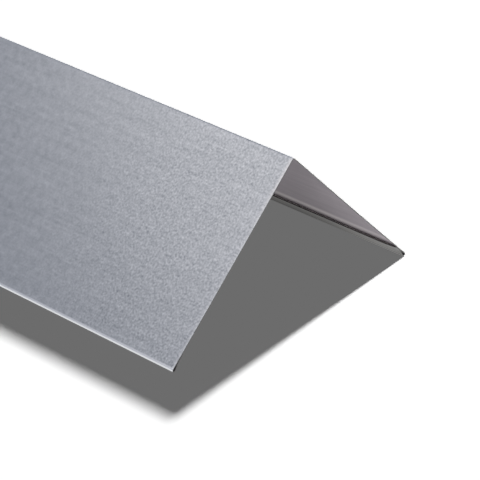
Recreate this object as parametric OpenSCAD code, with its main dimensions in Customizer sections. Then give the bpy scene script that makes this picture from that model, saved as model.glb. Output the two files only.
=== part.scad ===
// Verge flashing: one strip of coated sheet steel, folded once along its middle
// to a ridge and hemmed inwards along both long edges.
// Length runs along X, the left flange falls towards -Y, and the part stands on
// its two hems with the floor at Z = 0 and the ridge above Y = 0.

/* [Sheet] */
// Length of the flashing, as it is sold
flashing_length = 2000; // [200:10:6000]
// Thickness of the coated sheet
sheet_t = 0.5; // [0.4:0.05:1]

/* [Flanges] */
// Left flange, from the sharp corner of the outer faces to the outside of its hem
left_flange_w = 115; // [60:1:250]
// Right flange, from the sharp corner of the outer faces to the outside of its hem
right_flange_w = 115; // [60:1:250]
// Angle between the two flanges, on the inside
ridge_angle = 90; // [60:1:150]
// Inside radius of the bend along the ridge
ridge_inner_r = 0.7; // [0.4:0.1:3]

/* [Hems] */
// Width of the left hem, from the outside of its fold to the raw edge
left_hem_w = 9.5; // [6:0.5:20]
// Width of the right hem, from the outside of its fold to the raw edge
right_hem_w = 9.5; // [6:0.5:20]
// Clear width inside the fold, where the sheet turns back
hem_fold_d = 1.1; // [0.6:0.1:2]
// Slot left open between the raw edge and the flange
hem_lip_gap = 0.6; // [0.2:0.1:2]

/* [Hidden] */
$fn = 96;

// Ridge bend: its outer radius, and the stretch of each outer face that it takes
ridge_outer_r = ridge_inner_r + sheet_t;
ridge_tangent = ridge_outer_r / tan(ridge_angle / 2);

// Hem fold: inner and outer radius
fold_inner_r = hem_fold_d / 2;
fold_outer_r = fold_inner_r + sheet_t;

// Slope of each flange below level that puts both folds on the floor together
turn = 180 - ridge_angle;
left_reach = left_flange_w - fold_outer_r;
right_reach = right_flange_w - fold_outer_r;
left_slope = atan2(
    right_reach * sin(turn) + fold_outer_r * (cos(turn) - 1),
    left_reach + right_reach * cos(turn) - fold_outer_r * sin(turn)
);
right_slope = turn - left_slope;

// Height of the sharp corner of the outer faces above the floor
corner_height = left_reach * sin(left_slope) + fold_outer_r * (cos(left_slope) + 1);

// Directions round a bend's centre: to the outer face of the flange, and away from it
outward = -90;
inward = 90;
wedge_steps = 4;

// Angle by which a hem's flat leg leans back to the flange to leave the lip gap
function hem_lean(leg_w) =
    atan2(fold_inner_r, leg_w)
    + asin((fold_inner_r - hem_lip_gap) / norm([leg_w, fold_inner_r]));

// Cross-section of a bend: a ring of sheet between two directions from its centre
module bend(inner_r, start_angle, end_angle) {
    outer_r = inner_r + sheet_t;
    step_angle = (end_angle - start_angle) / wedge_steps;
    wedge = [
        for (step = [0 : wedge_steps])
            2 * outer_r * [cos(start_angle + step * step_angle), sin(start_angle + step * step_angle)]
    ];
    intersection() {
        difference() {
            circle(r = outer_r);
            circle(r = inner_r);
        }
        polygon(concat([[0, 0]], wedge));
    }
}

// Cross-section of one flange and its hem. X runs along the outer face from the
// sharp corner, and Y runs into the sheet and on to the inside of the ridge.
module flange(flange_w, hem_w) {
    fold_x = flange_w - fold_outer_r;
    leg_w = hem_w - fold_outer_r;
    lean = hem_lean(leg_w);
    translate([ridge_tangent, 0]) square([fold_x - ridge_tangent, sheet_t]);
    translate([fold_x, fold_outer_r]) {
        bend(fold_inner_r, outward, inward + lean);
        rotate(lean) translate([-leg_w, fold_inner_r]) square([leg_w, sheet_t]);
    }
}

// Cross-section of the whole sheet, with the ridge up
module folded_section() {
    translate([0, corner_height]) {
        rotate(180 + left_slope) {
            flange(left_flange_w, left_hem_w);
            translate([ridge_tangent, ridge_outer_r])
                bend(ridge_inner_r, inward + ridge_angle, 360 + outward);
        }
        mirror([1, 0]) rotate(180 + right_slope) flange(right_flange_w, right_hem_w);
    }
}

// The sheet is one piece: the section drawn out along X, with square-cut ends
module flashing_sheet() {
    color("#a2a6ad")
        rotate([90, 0, 90])
            linear_extrude(height = flashing_length, center = true)
                folded_section();
}

flashing_sheet();
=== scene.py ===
# %% [markdown]
# # A verge flashing of zinc-coated sheet steel
#
# The real object is a strip of thin coated sheet. A folding machine bends it once along its
# middle to a right angle and turns both long edges inwards to hems, so that no sharp edge
# shows. This file dresses the packed model of it: it makes the camera, a finely shaped sheet,
# its three finishes, the floor and the light. Lengths are in metres, in the packed model's
# own frame, in which the sheet lies along X and its ridge points up.

# %% Load the packed frame
import math
import bpy
import bmesh
from mathutils import Matrix, Vector, noise


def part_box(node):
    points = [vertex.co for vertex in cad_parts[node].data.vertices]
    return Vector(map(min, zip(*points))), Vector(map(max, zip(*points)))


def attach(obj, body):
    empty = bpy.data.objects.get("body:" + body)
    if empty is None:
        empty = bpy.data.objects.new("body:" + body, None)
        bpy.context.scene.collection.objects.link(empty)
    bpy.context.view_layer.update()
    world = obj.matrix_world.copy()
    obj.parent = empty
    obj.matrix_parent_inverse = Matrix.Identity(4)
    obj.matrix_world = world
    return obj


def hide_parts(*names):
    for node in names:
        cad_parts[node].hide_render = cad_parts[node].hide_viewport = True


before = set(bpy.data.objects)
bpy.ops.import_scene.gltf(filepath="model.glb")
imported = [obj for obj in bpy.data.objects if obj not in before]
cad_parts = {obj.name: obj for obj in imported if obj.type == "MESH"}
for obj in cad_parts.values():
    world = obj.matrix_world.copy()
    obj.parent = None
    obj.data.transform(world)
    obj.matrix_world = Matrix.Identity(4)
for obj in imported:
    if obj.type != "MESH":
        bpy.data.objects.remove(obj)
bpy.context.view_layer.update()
low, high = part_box("flashing_sheet")
MM = 0.001

# %% [markdown]
# ## The camera
#
# A camera could be placed by eye until the picture looks right. Here straight lines were
# fitted to the photograph's long edges instead, which gives the direction from which the
# camera looks, how far away it stands and how long its lens is. It aims at a point near the
# near end of the ridge, because that corner is the one the picture is built around.

# %% Place the camera
PICTURE = 480                       # pixels along each side of the photograph
SENSOR = 36.0                       # millimetres
CAMERA_AZIMUTH = math.radians(44.640)
CAMERA_ELEVATION = math.radians(27.372)
CAMERA_ROLL = math.radians(-0.389)
FOCAL_PIXELS = 2846.3
CORNER_RIGHT = 24.989 * MM          # where the near corner lies from the line of sight
CORNER_UP = 38.592 * MM
CORNER_DEPTH = 1325.89 * MM
DOWN_TO_LEVEL = math.radians(90)    # a camera that isn't turned looks straight down
CLIP_NEAR, CLIP_FAR = 0.05, 200     # nothing nearer or farther than this is drawn


def place_camera(corner):
    """A camera that sees the corner of the ridge's near end where the photograph has it."""
    turned = Matrix.Rotation(CAMERA_AZIMUTH, 4, "Z")
    lifted = Matrix.Rotation(DOWN_TO_LEVEL - CAMERA_ELEVATION, 4, "X")
    rolled = Matrix.Rotation(CAMERA_ROLL, 4, "Z")
    facing = turned @ lifted @ rolled
    data = bpy.data.cameras.new("camera")
    data.sensor_width = SENSOR
    data.lens = FOCAL_PIXELS / PICTURE * SENSOR
    data.clip_start = CLIP_NEAR
    data.clip_end = CLIP_FAR
    camera = bpy.data.objects.new("camera", data)
    bpy.context.scene.collection.objects.link(camera)
    seen_at = facing @ Vector((CORNER_RIGHT, CORNER_UP, -CORNER_DEPTH))
    camera.matrix_world = Matrix.Translation(corner - seen_at) @ facing
    bpy.context.scene.camera = camera
    return camera


SHEET_T = 0.5 * MM
RIDGE_INSIDE_R = 0.7 * MM
RIDGE_OUTSIDE_R = RIDGE_INSIDE_R + SHEET_T
SLOPE = math.radians(45)            # of both flanges, below level
SHARP_CORNER_RISE = RIDGE_OUTSIDE_R * (1 / math.cos(SLOPE) - 1)
near_corner = Vector((high.x, 0, high.z + SHARP_CORNER_RISE))
camera = place_camera(near_corner)
print("camera at", [round(v, 3) for v in camera.matrix_world.translation],
      "lens", round(camera.data.lens, 1))

# %% [markdown]
# ## The path of the strip
#
# The section could be drawn as a list of points, but the real strip has a simpler recipe:
# it is a straight piece, a bend, a straight piece and so on, as the folding machine makes
# it. So one half is walked from the middle of the ridge to the raw edge of the hem, and the
# walk keeps its heading, because the heading tells on which sides the two faces of the sheet
# lie. Bends get a step every few degrees, and flats get short steps beside each bend, so that
# smooth shading stays flat on the flats.

# %% Walk one half of the section
HEM_INSIDE_R = 0.55 * MM
HEM_OUTSIDE_R = HEM_INSIDE_R + SHEET_T
HEM_WIDTH = 9.5 * MM
HEM_LIP_GAP = 0.6 * MM
BEND_STEP = math.radians(7.5)
BESIDE_BEND = 0.12 * MM
FLAT_STEPS = 14
LEG_STEPS = 10

leg_length = HEM_WIDTH - HEM_OUTSIDE_R      # the leg is the flat strip that the hem folds back
hem_lean = math.atan2(HEM_INSIDE_R, leg_length) + math.asin(
    (HEM_INSIDE_R - HEM_LIP_GAP) / math.hypot(leg_length, HEM_INSIDE_R)
)
bends_drop = RIDGE_OUTSIDE_R * (1 - math.cos(SLOPE)) + HEM_OUTSIDE_R * (1 + math.cos(SLOPE))
flat_length = (high.z - low.z - bends_drop) / math.sin(SLOPE)


class Walk:
    """A walk across the sheet's middle. Each step is a place, a heading and two shares:
    how far along the flange's flat it is, and how far along the hem's leg."""

    def __init__(self, z):
        self.y, self.z, self.heading = 0.0, z, 0.0
        self.steps = [(self.y, self.z, self.heading, 0.0, 0.0)]

    def straight(self, length, parts, on_leg=False):
        """Ahead by a length: short steps beside both bends, and even ones between them."""
        stops = [BESIDE_BEND + (length - 2 * BESIDE_BEND) * i / parts for i in range(parts + 1)]
        start = (self.y, self.z)
        for stop in stops + [length]:
            self.y = start[0] + stop * math.cos(self.heading)
            self.z = start[1] + stop * math.sin(self.heading)
            shares = (0.0, stop / length) if on_leg else (stop / length, 0.0)
            self.steps.append((self.y, self.z, self.heading, *shares))

    def bend(self, inside_r, angle):
        """Round a bend to the right, towards the inside of the ridge."""
        r = inside_r + SHEET_T / 2
        centre = (self.y + r * math.sin(self.heading), self.z - r * math.cos(self.heading))
        parts = math.ceil(angle / BEND_STEP)
        start = self.heading
        for i in range(1, parts + 1):
            self.heading = start - angle * i / parts
            self.y = centre[0] - r * math.sin(self.heading)
            self.z = centre[1] + r * math.cos(self.heading)
            self.steps.append((self.y, self.z, self.heading, 0.0, 0.0))


walk = Walk(high.z - SHEET_T / 2)
walk.bend(RIDGE_INSIDE_R, SLOPE)
walk.straight(flat_length, FLAT_STEPS)
walk.bend(HEM_INSIDE_R, math.pi + hem_lean)
walk.straight(leg_length, LEG_STEPS, on_leg=True)
half_section = walk.steps
print("half section", len(half_section), "steps, flat", round(flat_length / MM, 2), "mm, hem leans",
      round(math.degrees(hem_lean), 2), "degrees")

# %% [markdown]
# ## The sheet
#
# The walk is given a thickness and drawn out along the length. A curve with a bevel profile
# could do that, but it would be too perfect: real folded sheet has slow, shallow waves in its
# flats, which the bends hold still along their lines. The shear that cuts it off draws the
# last millimetre of the face down a little, and pinches the hem nearly shut, so that only its
# fold stays hollow there. So the mesh is made row by row, and each row is moved a little. All
# moves are shorter than a millimetre and go towards the inside, so the sheet keeps its size.

# %% Shape the sheet
WAVE_DEPTH = 0.35 * MM
WAVE_LENGTH = 170 * MM
WAVES_ACROSS = 1.4                  # how far the wave noise travels from bend to bend
FLANGES_APART = 7.3                 # so that the two flanges get waves of their own
SHEAR_DRAW = 0.10 * MM
SHEAR_REACH = 1.5 * MM
EDGE_EASE = 0.05 * MM
ROW_STEP = 12 * MM
ROWS_AT_CUT = [d * MM for d in (0, 0.05, 0.2, 0.4, 0.7, 1.1, 1.5, 3, 5, 7.5, 10, 14, 18)]
PINCHED_GAP = 0.15 * MM             # what the shear leaves of the hem's slot at the cut
PINCH_REACH = 12 * MM
PINCHED_FROM = 0.6                  # share of the leg at which the slot is all pinched
SHARP_ABOVE = math.radians(35)
COATING, BACK, CUT = 0, 1, 2        # places of the three finishes in the sheet's slots


def wave(x, flange, place):
    """How far a flat is pushed in at x, in metres: nothing at its two bends, most between them."""
    held = math.sin(math.pi * place) ** 2
    spot = Vector((x / WAVE_LENGTH, flange * FLANGES_APART + place * WAVES_ACROSS, 0))
    return WAVE_DEPTH * held * (noise.noise(spot) + 1) / 2


def shear(to_end):
    """How far the shear drew the sheet in, at this distance from its cut end."""
    return SHEAR_DRAW * (1 - min(to_end / SHEAR_REACH, 1.0)) ** 2


def smooth_rise(share):
    """From 0 to 1, level at both ends."""
    return share * share * (3 - 2 * share)


def pinch(to_end, along_leg):
    """How far the shear pressed the hem's leg towards the flange."""
    slot = 2 * HEM_INSIDE_R + (HEM_LIP_GAP - 2 * HEM_INSIDE_R) * along_leg
    closed = smooth_rise(min(along_leg / PINCHED_FROM, 1.0)) * (slot - PINCHED_GAP)
    return closed * (1 - min(to_end / PINCH_REACH, 1.0)) ** 2


def rows_along(low_x, high_x):
    """Places of the rows along the length: close together at both cut ends."""
    first, last = low_x + ROWS_AT_CUT[-1], high_x - ROWS_AT_CUT[-1]
    between = round((last - first) / ROW_STEP)
    middle = [first + (last - first) * i / between for i in range(1, between)]
    return [low_x + c for c in ROWS_AT_CUT] + middle + [high_x - c for c in reversed(ROWS_AT_CUT)]


def ring_points(x, to_end):
    """The closed outline of the section at one row: over the outside, and back inside."""
    ease = max(0.0, EDGE_EASE - to_end)
    outside, inside = [], []
    halves = [(-1, s) for s in reversed(half_section)] + [(1, s) for s in half_section[1:]]
    for number, (side, (y, z, heading, place, along_leg)) in enumerate(halves):
        at_raw_edge = number in (0, len(halves) - 1)
        half_t = SHEET_T / 2 - (EDGE_EASE if at_raw_edge else 0) - ease
        across = Vector((0, -side * math.sin(heading), math.cos(heading)))
        inwards = wave(x, side, place) + shear(to_end) + pinch(to_end, along_leg)
        middle = Vector((x, side * y, z)) - across * inwards
        outside.append(middle + across * half_t)
        inside.append(middle - across * half_t)
    return outside + inside[::-1]


def make_sheet():
    """One closed mesh: rings of points joined along the length and capped at both ends."""
    shape = bmesh.new()
    rings = []
    for x in rows_along(low.x, high.x):
        to_end = min(x - low.x, high.x - x)
        rings.append([shape.verts.new(p) for p in ring_points(x, to_end)])
    count = len(rings[0])
    half = count // 2
    finishes = [COATING] * (half - 1) + [CUT] + [BACK] * (half - 1) + [CUT]
    for here, there in zip(rings[:-1], rings[1:]):
        for i, finish in enumerate(finishes):
            j = (i + 1) % count
            shape.faces.new((here[i], here[j], there[j], there[i])).material_index = finish
    for ring in (rings[0], rings[-1]):
        for i in range(half - 1):
            cut = shape.faces.new((ring[i], ring[i + 1], ring[count - 2 - i], ring[count - 1 - i]))
            cut.material_index = CUT
    bmesh.ops.recalc_face_normals(shape, faces=shape.faces)
    for face in shape.faces:
        face.smooth = True
    mesh = bpy.data.meshes.new("sheet")
    shape.to_mesh(mesh)
    shape.free()
    mesh.set_sharp_from_angle(angle=SHARP_ABOVE)
    sheet = bpy.data.objects.new("sheet", mesh)
    bpy.context.scene.collection.objects.link(sheet)
    return sheet


sheet = make_sheet()
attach(sheet, "root")
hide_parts("flashing_sheet")
sheet.visible_diffuse = False       # the floor's shadow stays even, as in the photograph
print("sheet", len(sheet.data.polygons), "faces, size", [round(v, 4) for v in sheet.dimensions])

# %% [markdown]
# ## Writing materials as sums
#
# Shader nodes could be added one by one and linked by hand, but then the idea of a finish is
# hard to see. This small class wraps the output of a node, and a sum or a product of such
# outputs adds the Math nodes that work it out. Every other node comes from its `node` method.

# %% A socket that can be calculated with
NOISE_MEAN = 0.5
MIX_SHARE, MIX_FIRST, MIX_SECOND = 0, 6, 7  # sockets of a Mix node that mixes colours
MIX_COLOUR = 2                      # and its output


class Wire:
    """An output of a node. Sums, differences and products of wires add Math nodes."""

    def __init__(self, tree, socket=None):
        self.tree, self.socket = tree, socket

    def node(self, kind, settings=None, values=None, output=0):
        """Adds a node: its settings first, then numbers or wires for its sockets."""
        made = self.tree.nodes.new(kind)
        for name, value in (settings or {}).items():
            setattr(made, name, value)
        for name, value in (values or {}).items():
            if isinstance(value, Wire):
                self.tree.links.new(value.socket, made.inputs[name])
            else:
                made.inputs[name].default_value = value
        return Wire(self.tree, made.outputs[output] if len(made.outputs) else None)

    def output(self, name):
        """Another output of the node that this wire comes from."""
        return Wire(self.tree, self.socket.node.outputs[name])

    def math(self, operation, *values):
        return self.node("ShaderNodeMath", {"operation": operation}, dict(enumerate(values)))

    def __add__(self, other):
        return self.math("ADD", self, other)

    def __sub__(self, other):
        return self.math("SUBTRACT", self, other)

    def __rsub__(self, other):
        return self.math("SUBTRACT", other, self)

    def __mul__(self, other):
        return self.math("MULTIPLY", self, other)

    __radd__ = __add__
    __rmul__ = __mul__

    def size(self):
        """This number without its sign."""
        return self.math("ABSOLUTE", self)

    def most(self, other):
        """The larger of two numbers."""
        return self.math("MAXIMUM", self, other)

    def part(self, axis):
        """One of the three parts of this vector."""
        return self.node("ShaderNodeSeparateXYZ", {}, {0: self}).output(axis)

    def fade(self, full, none):
        """1 where this wire is at the first value, falling smoothly to 0 at the second."""
        values = {"Value": self, "From Min": none, "From Max": full}
        return self.node("ShaderNodeMapRange", {"interpolation_type": "SMOOTHSTEP"}, values)

    def between(self, first, second):
        """A number between two, with this wire as the share of the second."""
        return first + self * (second - first)

    def mix(self, first, second):
        """A colour between two, with this wire as the share of the second."""
        values = {MIX_SHARE: self, MIX_FIRST: first, MIX_SECOND: second}
        return self.node("ShaderNodeMix", {"data_type": "RGBA"}, values, output=MIX_COLOUR)

    def stretched(self, scale):
        """This vector, multiplied by a scale along each axis."""
        return self.node("ShaderNodeVectorMath", {"operation": "MULTIPLY"}, {0: self, 1: scale})

    def noise(self, scale, detail=2.0, seed=0.0):
        """Noise around 0 at this place, with this many bumps to the metre."""
        values = {"Vector": self, "Scale": scale, "Detail": detail, "W": seed}
        return self.node("ShaderNodeTexNoise", {"noise_dimensions": "4D"}, values) - NOISE_MEAN


def new_material(name):
    """A material with its Principled shader, and a wire to start from."""
    material = bpy.data.materials.new(name)
    material.use_nodes = True
    return material, material.node_tree.nodes["Principled BSDF"], Wire(material.node_tree)


def feed(node, name, wire):
    """Links a wire to one of a node's sockets."""
    wire.tree.links.new(wire.socket, node.inputs[name])


print("a wire can", [name for name in vars(Wire) if not name.startswith("_")])

# %% [markdown]
# ## The zinc coating
#
# The coating freezes on the hot steel as fine crystals, each of them a little lighter or
# darker than its neighbours. A picture of such sheet could be wrapped round the mesh, but
# noise at the crystals' own size needs no picture and no seams, and is as sharp from any
# distance. Four sizes are added up: crystals of about a millimetre, mottles of a few, streaks
# that the rolls leave along the strip, and slow clouds. The crystals stand out in some
# patches and are faint between them.
#
# The folding machine rubs the outside of the hem's fold bright, and its colour is raised further
# as a painted highlight, the bright line along the fold. The leg behind it gets a plain, darker
# and warmer grey, which is painted shade. On a flange of 45 degrees the distance
# from the middle and the height add up to the same sum all the way down. Behind the tip of
# the fold that sum is smaller, and this tells the two finishes apart. A narrow rim at each end
# is painted a little lighter, most of all beside the ridge, as a painted highlight of the cut edge.

# %% Make the coating
ZINC_DARK = (0.300, 0.318, 0.343, 1)
ZINC_LIGHT = (0.650, 0.665, 0.690, 1)
# the fold's colour: rubbed zinc, raised further as a painted highlight
RUBBED_ZINC_AND_HIGHLIGHT = (0.765, 0.778, 0.805, 1)
# a darker, warmer grey for the hem's leg: painted shade, as it lies in shade inside the hem
LEG_PAINTED_SHADE = (0.44, 0.425, 0.405, 1)
LEG_SHADE_SHARE = 0.8                     # how much of the leg's finish is its painted shade
GRAINS_PER_M = 900
MOTTLES_PER_M = 280
STREAKS_PER_M = 600
STREAK_STRETCH = (0.03, 1, 1)
CLOUDS_PER_M = 14
PATCHES_PER_M = 6
PATCHES_SEED = 4                    # puts a patch of strong grain at the end that the camera sees
PATCH_CORE, PATCH_OUTSIDE = 0.12, -0.26     # patch noise where the grain is strongest and faintest
GRAIN_IN_PATCH, GRAIN_OUTSIDE = 1.78, 0.36
MOTTLE_IN_PATCH, MOTTLE_OUTSIDE = 0.42, 0.60
STREAK_SHARE = 0.38
CLOUD_SHARE = 0.12
ZINC_TONE = 0.485
ZINC_ROUGHNESS = 0.36
GRAIN_ROUGHNESS = 0.1
GRAIN_RELIEF = 0.03 * MM
HEM_RUB_AND_HIGHLIGHT_TO = 1.9 * MM            # height up to which the hem's fold is rubbed bright and painted with a highlight
HEM_PLAIN_FROM = 2.5 * MM
FOLD_BLEND = 0.3 * MM               # half the width over which the fold's two finishes meet
# a lighter colour along both cut ends: painted highlight of the cut edge
RIM_HIGHLIGHT = (0.80, 0.785, 0.775, 1)
RIM_WIDTH = 2.2 * MM                # of the painted highlight rim beside both cut ends
RIM_SHARE, RIM_SHARE_AT_RIDGE = 0.1, 0.5
RIM_RIDGE_REACH = 32 * MM           # height below the ridge at which the rim is at its faintest


def zinc_coating():
    material, shader, start = new_material("zinc_coating")
    place = start.node("ShaderNodeTexCoord").output("Object")
    patch = place.noise(PATCHES_PER_M, detail=0, seed=PATCHES_SEED).fade(PATCH_CORE, PATCH_OUTSIDE)
    grains = place.noise(GRAINS_PER_M, detail=1)
    mottles = place.noise(MOTTLES_PER_M)
    streaks = place.stretched(STREAK_STRETCH).noise(STREAKS_PER_M)
    clouds = place.noise(CLOUDS_PER_M)
    tone = grains * patch.between(GRAIN_OUTSIDE, GRAIN_IN_PATCH) + ZINC_TONE
    tone = tone + mottles * patch.between(MOTTLE_OUTSIDE, MOTTLE_IN_PATCH)
    tone = tone + streaks * STREAK_SHARE + clouds * CLOUD_SHARE
    across, height = place.part("Y").size(), place.part("Z")
    outer = (across + height).fade(high.y + FOLD_BLEND, high.y - FOLD_BLEND)
    # the hem's fold: rubbed zinc and a painted highlight line
    rubbed_and_highlight = outer * height.fade(HEM_RUB_AND_HIGHLIGHT_TO, HEM_PLAIN_FROM)
    # the hem's leg gets its darker, warmer grey here: painted shade
    coat = ((1 - outer) * LEG_SHADE_SHARE).mix(tone.mix(ZINC_DARK, ZINC_LIGHT), LEG_PAINTED_SHADE)
    # a painted highlight along both cut ends, strongest beside the ridge
    beside_ridge = height.fade(high.z, high.z - RIM_RIDGE_REACH)
    rim = outer * place.part("X").size().fade(high.x, high.x - RIM_WIDTH)
    rim = rim * beside_ridge.between(RIM_SHARE, RIM_SHARE_AT_RIDGE)
    feed(shader, "Base Color", rubbed_and_highlight.mix(rim.mix(coat, RIM_HIGHLIGHT), RUBBED_ZINC_AND_HIGHLIGHT))
    feed(shader, "Roughness", ZINC_ROUGHNESS + grains * GRAIN_ROUGHNESS)
    relief = {"Strength": 1.0, "Distance": GRAIN_RELIEF, "Height": grains}
    feed(shader, "Normal", place.node("ShaderNodeBump", {}, relief))
    shader.inputs["Metallic"].default_value = 1.0
    return material


coating = zinc_coating()
print(coating.name, len(coating.node_tree.nodes), "nodes")

# %% [markdown]
# ## The back of the sheet
#
# The inside of the flashing carries the same zinc, but the light from the floor makes it look
# darker, and its grain hardly shows. The warmer, pinkish tone of that light is painted into its
# colour and its glancing tint. It could share the coating's material. A finish of its own is
# simpler, and has room for painted light and shade: a lighter band beside the hem, fainter at
# both ends, which is a painted reflection; a dull inside of the fold, painted light to lift the
# slot's dark; and the fold's hollow painted dark at both ends, as painted shade.

# %% Make the back
# warmer, pinkish tones of the back: a painted tint of the floor's light
BACK_DARK = (0.40, 0.370, 0.40, 1)
BACK_LIGHT = (0.60, 0.555, 0.59, 1)
# colour of a lighter band above the hem's slot: a painted reflection
PAINTED_BAND = (0.97, 0.93, 0.92, 1)
# a light colour for the fold's inside: painted light, to lift the dark of the hem's slot
FOLD_PAINTED_LIGHT = (0.90, 0.86, 0.86, 1)
BACK_CLOUDS_PER_M = 35
BACK_TONE = 0.5
BACK_CONTRAST = 1.2
PAINTED_BAND_AT = 13.6 * MM           # height of a lighter band above the hem's slot: a painted reflection
PAINTED_BAND_HALF = 4.6 * MM
PAINTED_BAND_AT_END = 0.6                # share of the painted band that is left at both ends
PAINTED_BAND_ALL_FROM = 50 * MM          # distance from an end at which it is all there
IN_THE_FOLD_TO = 6.6 * MM
OUT_OF_THE_FOLD = 7.4 * MM
BACK_ROUGHNESS = 0.35
CLOUD_ROUGHNESS = 0.06
FOLD_ROUGHER = 0.15
FOLD_DULL_SHARE = 0.25                    # share of the fold's inside that is dull, not metal
# dark colour for the fold's hollow at both ends: painted shade
HOLLOW_SHADE = (0.22, 0.21, 0.21, 1)
HOLLOW_SHADE_REACH = 6 * MM               # how far into the fold's hollow the painted shade goes
GLANCING_PAINTED_WARMTH = (1.0, 0.96, 0.99, 1)    # painted warm tone of the floor's light, shown by the back's metal at a flat angle


def zinc_back():
    material, shader, start = new_material("zinc_back")
    place = start.node("ShaderNodeTexCoord").output("Object")
    streaks = place.stretched(STREAK_STRETCH).noise(STREAKS_PER_M)
    clouds = place.noise(BACK_CLOUDS_PER_M)
    along, height = place.part("X").size(), place.part("Z")
    tone = (streaks + clouds) * BACK_CONTRAST + BACK_TONE
    # a lighter band above the hem's slot, fainter at both ends: a painted reflection
    painted_band = along.fade(high.x - PAINTED_BAND_ALL_FROM, high.x).between(PAINTED_BAND_AT_END, 1)
    painted_band = painted_band * (height - PAINTED_BAND_AT).size().fade(0, PAINTED_BAND_HALF)
    folded = height.fade(IN_THE_FOLD_TO, OUT_OF_THE_FOLD)
    plain = painted_band.mix(tone.mix(BACK_DARK, BACK_LIGHT), PAINTED_BAND)
    # the fold's hollow darkens at both ends: painted shade
    hollow_shade = folded * along.fade(high.x, high.x - HOLLOW_SHADE_REACH)
    # the fold's inside gets a light colour: painted light
    feed(shader, "Base Color", hollow_shade.mix(folded.mix(plain, FOLD_PAINTED_LIGHT), HOLLOW_SHADE))
    feed(shader, "Roughness", BACK_ROUGHNESS + clouds * CLOUD_ROUGHNESS + folded * FOLD_ROUGHER)
    feed(shader, "Metallic", 1 - folded * FOLD_DULL_SHARE)
    shader.inputs["Specular Tint"].default_value = GLANCING_PAINTED_WARMTH
    return material


back = zinc_back()
print(back.name, len(back.node_tree.nodes), "nodes")

# %% [markdown]
# ## The cut edges
#
# Both ends and the raw edges of the hems show bare steel through the sheet's thickness, with
# no zinc on it. Its dark grey is partly painted shade, for the raw edges that lie in the shade
# of the hems' slots. A blade leaves it torn in tiny darker and lighter spots. At half a
# millimetre a noise in its colour is enough, and real grooves would never be seen.

# %% Make the cut edges
# dark bare steel, partly painted shade of the hems' slots
CUT_DARK = (0.11, 0.11, 0.11, 1)
CUT_LIGHT = (0.26, 0.255, 0.25, 1)
TEARS_PER_M = 1800
CUT_TONE = 0.5
CUT_ROUGHNESS = 0.55
TEAR_ROUGHNESS = 0.2


def sheared_steel():
    material, shader, start = new_material("sheared_steel")
    tears = start.node("ShaderNodeTexCoord").output("Object").noise(TEARS_PER_M)
    feed(shader, "Base Color", (tears + CUT_TONE).mix(CUT_DARK, CUT_LIGHT))
    feed(shader, "Roughness", CUT_ROUGHNESS + tears * TEAR_ROUGHNESS)
    shader.inputs["Metallic"].default_value = 1.0
    return material


for finish in (coating, back, sheared_steel()):
    sheet.data.materials.append(finish)
print("finishes", [finish.name for finish in sheet.data.materials])

# %% [markdown]
# ## Floor and backdrop
#
# The photograph has a white ground with one soft shadow. A white floor under a strong lamp
# would clip the object too, so the floor is plain for the light that it throws back, and
# reads as white only where the camera or a mirroring surface looks at it.
#
# Metal looks like what it mirrors. The flanges mirror the room overhead, so that is an even
# grey. The fold of a hem mirrors the floor beside it, which glows white to it even where it
# lies in shadow, a painted reflection that makes the fold a bright line. The inside mirrors the
# floor under the sheet, which is in shadow, with a little painted glow that is more at the open
# ends and fades to painted shade close to the hems.

# %% Make the floor and the backdrop
WHITE = (1, 1, 1, 1)
FLOOR_HALF = 40.0
FLOOR_PLAIN = (0.8, 0.8, 0.8, 1)
FLOOR_SEEN = (2.0, 2.0, 2.0, 1)     # reads as white in the lamp's light, and grey in the shadow
FILL_UNDER = 0.19                   # share of painted white glow in the mirrored floor under the sheet
FILL_FROM = 9 * MM                  # distance from a hem at which it is all there
FILL_NONE = 1.5 * MM
FILL_AT_END = 0.26                  # painted light that the mirrored floor gets at the open ends
END_REACH = 75 * MM
AMBIENT = 0.075                     # the backdrop's light, which reaches into the shadow
ROOM_GREY = (0.455, 0.474, 0.534, 1)
WHITE_BELOW = 0.15                  # upward part of a direction below which the backdrop is white
GREY_ABOVE = 0.35


def looks(start):
    """Two masks: rays of the camera, and rays that a surface mirrors or lets through."""
    rays = start.node("ShaderNodeLightPath")
    mirrored = rays.output("Is Glossy Ray").most(rays.output("Is Transmission Ray"))
    return rays.output("Is Camera Ray"), mirrored


def make_floor():
    shape = bmesh.new()
    bmesh.ops.create_grid(shape, x_segments=1, y_segments=1, size=FLOOR_HALF)
    mesh = bpy.data.meshes.new("floor")
    shape.to_mesh(mesh)
    shape.free()
    floor = bpy.data.objects.new("floor", mesh)
    bpy.context.scene.collection.objects.link(floor)
    material, shader, start = new_material("white_floor")
    seen, mirrored = looks(start)
    place = start.node("ShaderNodeTexCoord").output("Object")
    across, along = place.part("Y").size(), place.part("X").size()
    # to mirroring rays the floor glows: white beside the sheet, though in shadow, a painted
    # reflection; under it a little painted light, more at the open ends, fading to painted shade
    # close to the hems
    beside = across.math("GREATER_THAN", across, high.y)
    under = across.fade(high.y - FILL_FROM, high.y - FILL_NONE) * FILL_UNDER
    painted_end_light = along.fade(high.x, high.x - END_REACH) * FILL_AT_END
    filled = mirrored * beside.most(under + painted_end_light)
    colour = seen.most(mirrored).mix(FLOOR_PLAIN, FLOOR_SEEN)
    matt = start.node("ShaderNodeBsdfDiffuse", {}, {"Color": colour})
    glow = start.node("ShaderNodeEmission", {}, {"Color": WHITE})
    surface = start.node("ShaderNodeMixShader", {}, {0: filled, 1: matt, 2: glow})
    feed(material.node_tree.nodes["Material Output"], "Surface", surface)
    material.node_tree.nodes.remove(shader)
    mesh.materials.append(material)
    return floor


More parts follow.
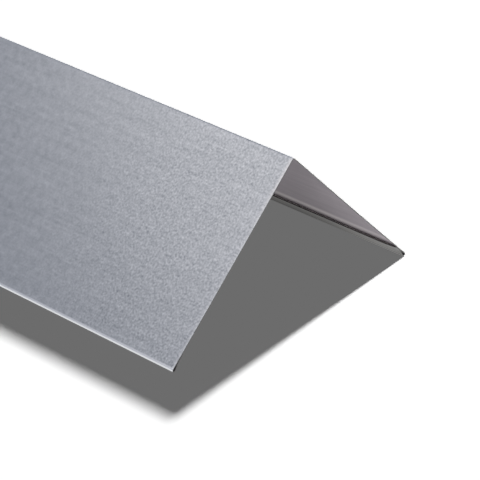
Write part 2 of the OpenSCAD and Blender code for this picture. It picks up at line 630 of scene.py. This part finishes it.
def make_backdrop():
    world = bpy.data.worlds.new("backdrop")
    bpy.context.scene.world = world
    world.use_nodes = True
    shader = world.node_tree.nodes["Background"]
    start = Wire(world.node_tree)
    seen, mirrored = looks(start)
    towards = start.node("ShaderNodeTexCoord").output("Generated")
    overhead = mirrored * towards.part("Z").fade(GREY_ABOVE, WHITE_BELOW)
    feed(shader, "Color", overhead.mix(WHITE, ROOM_GREY))
    feed(shader, "Strength", seen.most(mirrored).between(AMBIENT, 1))
    return world


floor = make_floor()
backdrop = make_backdrop()
print(floor.name, "is", round(floor.dimensions.x), "m wide, and", backdrop.name, "surrounds it")

# %% [markdown]
# ## Light
#
# One lamp behind the sheet throws the shadow, and its width makes the shadow's edge soft.
# Metal shows little of such a lamp. A second large lamp could light the whole sheet, but the
# photograph's sheet is brightest at its near end and fades along its length, so a softbox
# hangs above that end for the metal to mirror. It doesn't shine on the floor, so that it
# doesn't lighten the shadow.

# %% Hang the lamps
KEY_FROM = Vector((-0.213, 0.784, 0.584))
KEY_STRENGTH = 2.4                  # watts to the square metre
KEY_WIDTH = math.radians(3.3)
SOFTBOX_AT = Vector((0.815, -0.230, 0.453))
SOFTBOX_AIM = Vector((0.97, -0.03, 0.05))
SOFTBOX_WIDTH, SOFTBOX_HEIGHT = 0.533, 0.368
SOFTBOX_WATTS = 0.475
SOFTBOX_COLOUR = (1.0, 0.944, 0.89)


def lamp(name, kind, direction, energy):
    """A lamp that shines in a direction."""
    data = bpy.data.lights.new(name, kind)
    data.energy = energy
    made = bpy.data.objects.new(name, data)
    made.rotation_mode = "QUATERNION"
    made.rotation_quaternion = direction.to_track_quat("-Z", "Y")
    bpy.context.scene.collection.objects.link(made)
    return made


key = lamp("key", "SUN", -KEY_FROM, KEY_STRENGTH)
key.data.angle = KEY_WIDTH
softbox = lamp("softbox", "AREA", SOFTBOX_AIM - SOFTBOX_AT, SOFTBOX_WATTS)
softbox.location = SOFTBOX_AT
softbox.data.shape = "RECTANGLE"
softbox.data.size = SOFTBOX_WIDTH
softbox.data.size_y = SOFTBOX_HEIGHT
softbox.data.color = SOFTBOX_COLOUR
softbox.visible_diffuse = False
print("lamps", key.name, softbox.name)

# %% [markdown]
# ## Colours as they are
#
# Blender's usual view bends colours like film does. The Standard view leaves them as they are
# written, so that they can be set against the photograph.

# %% Set the view
bpy.context.scene.view_settings.view_transform = "Standard"
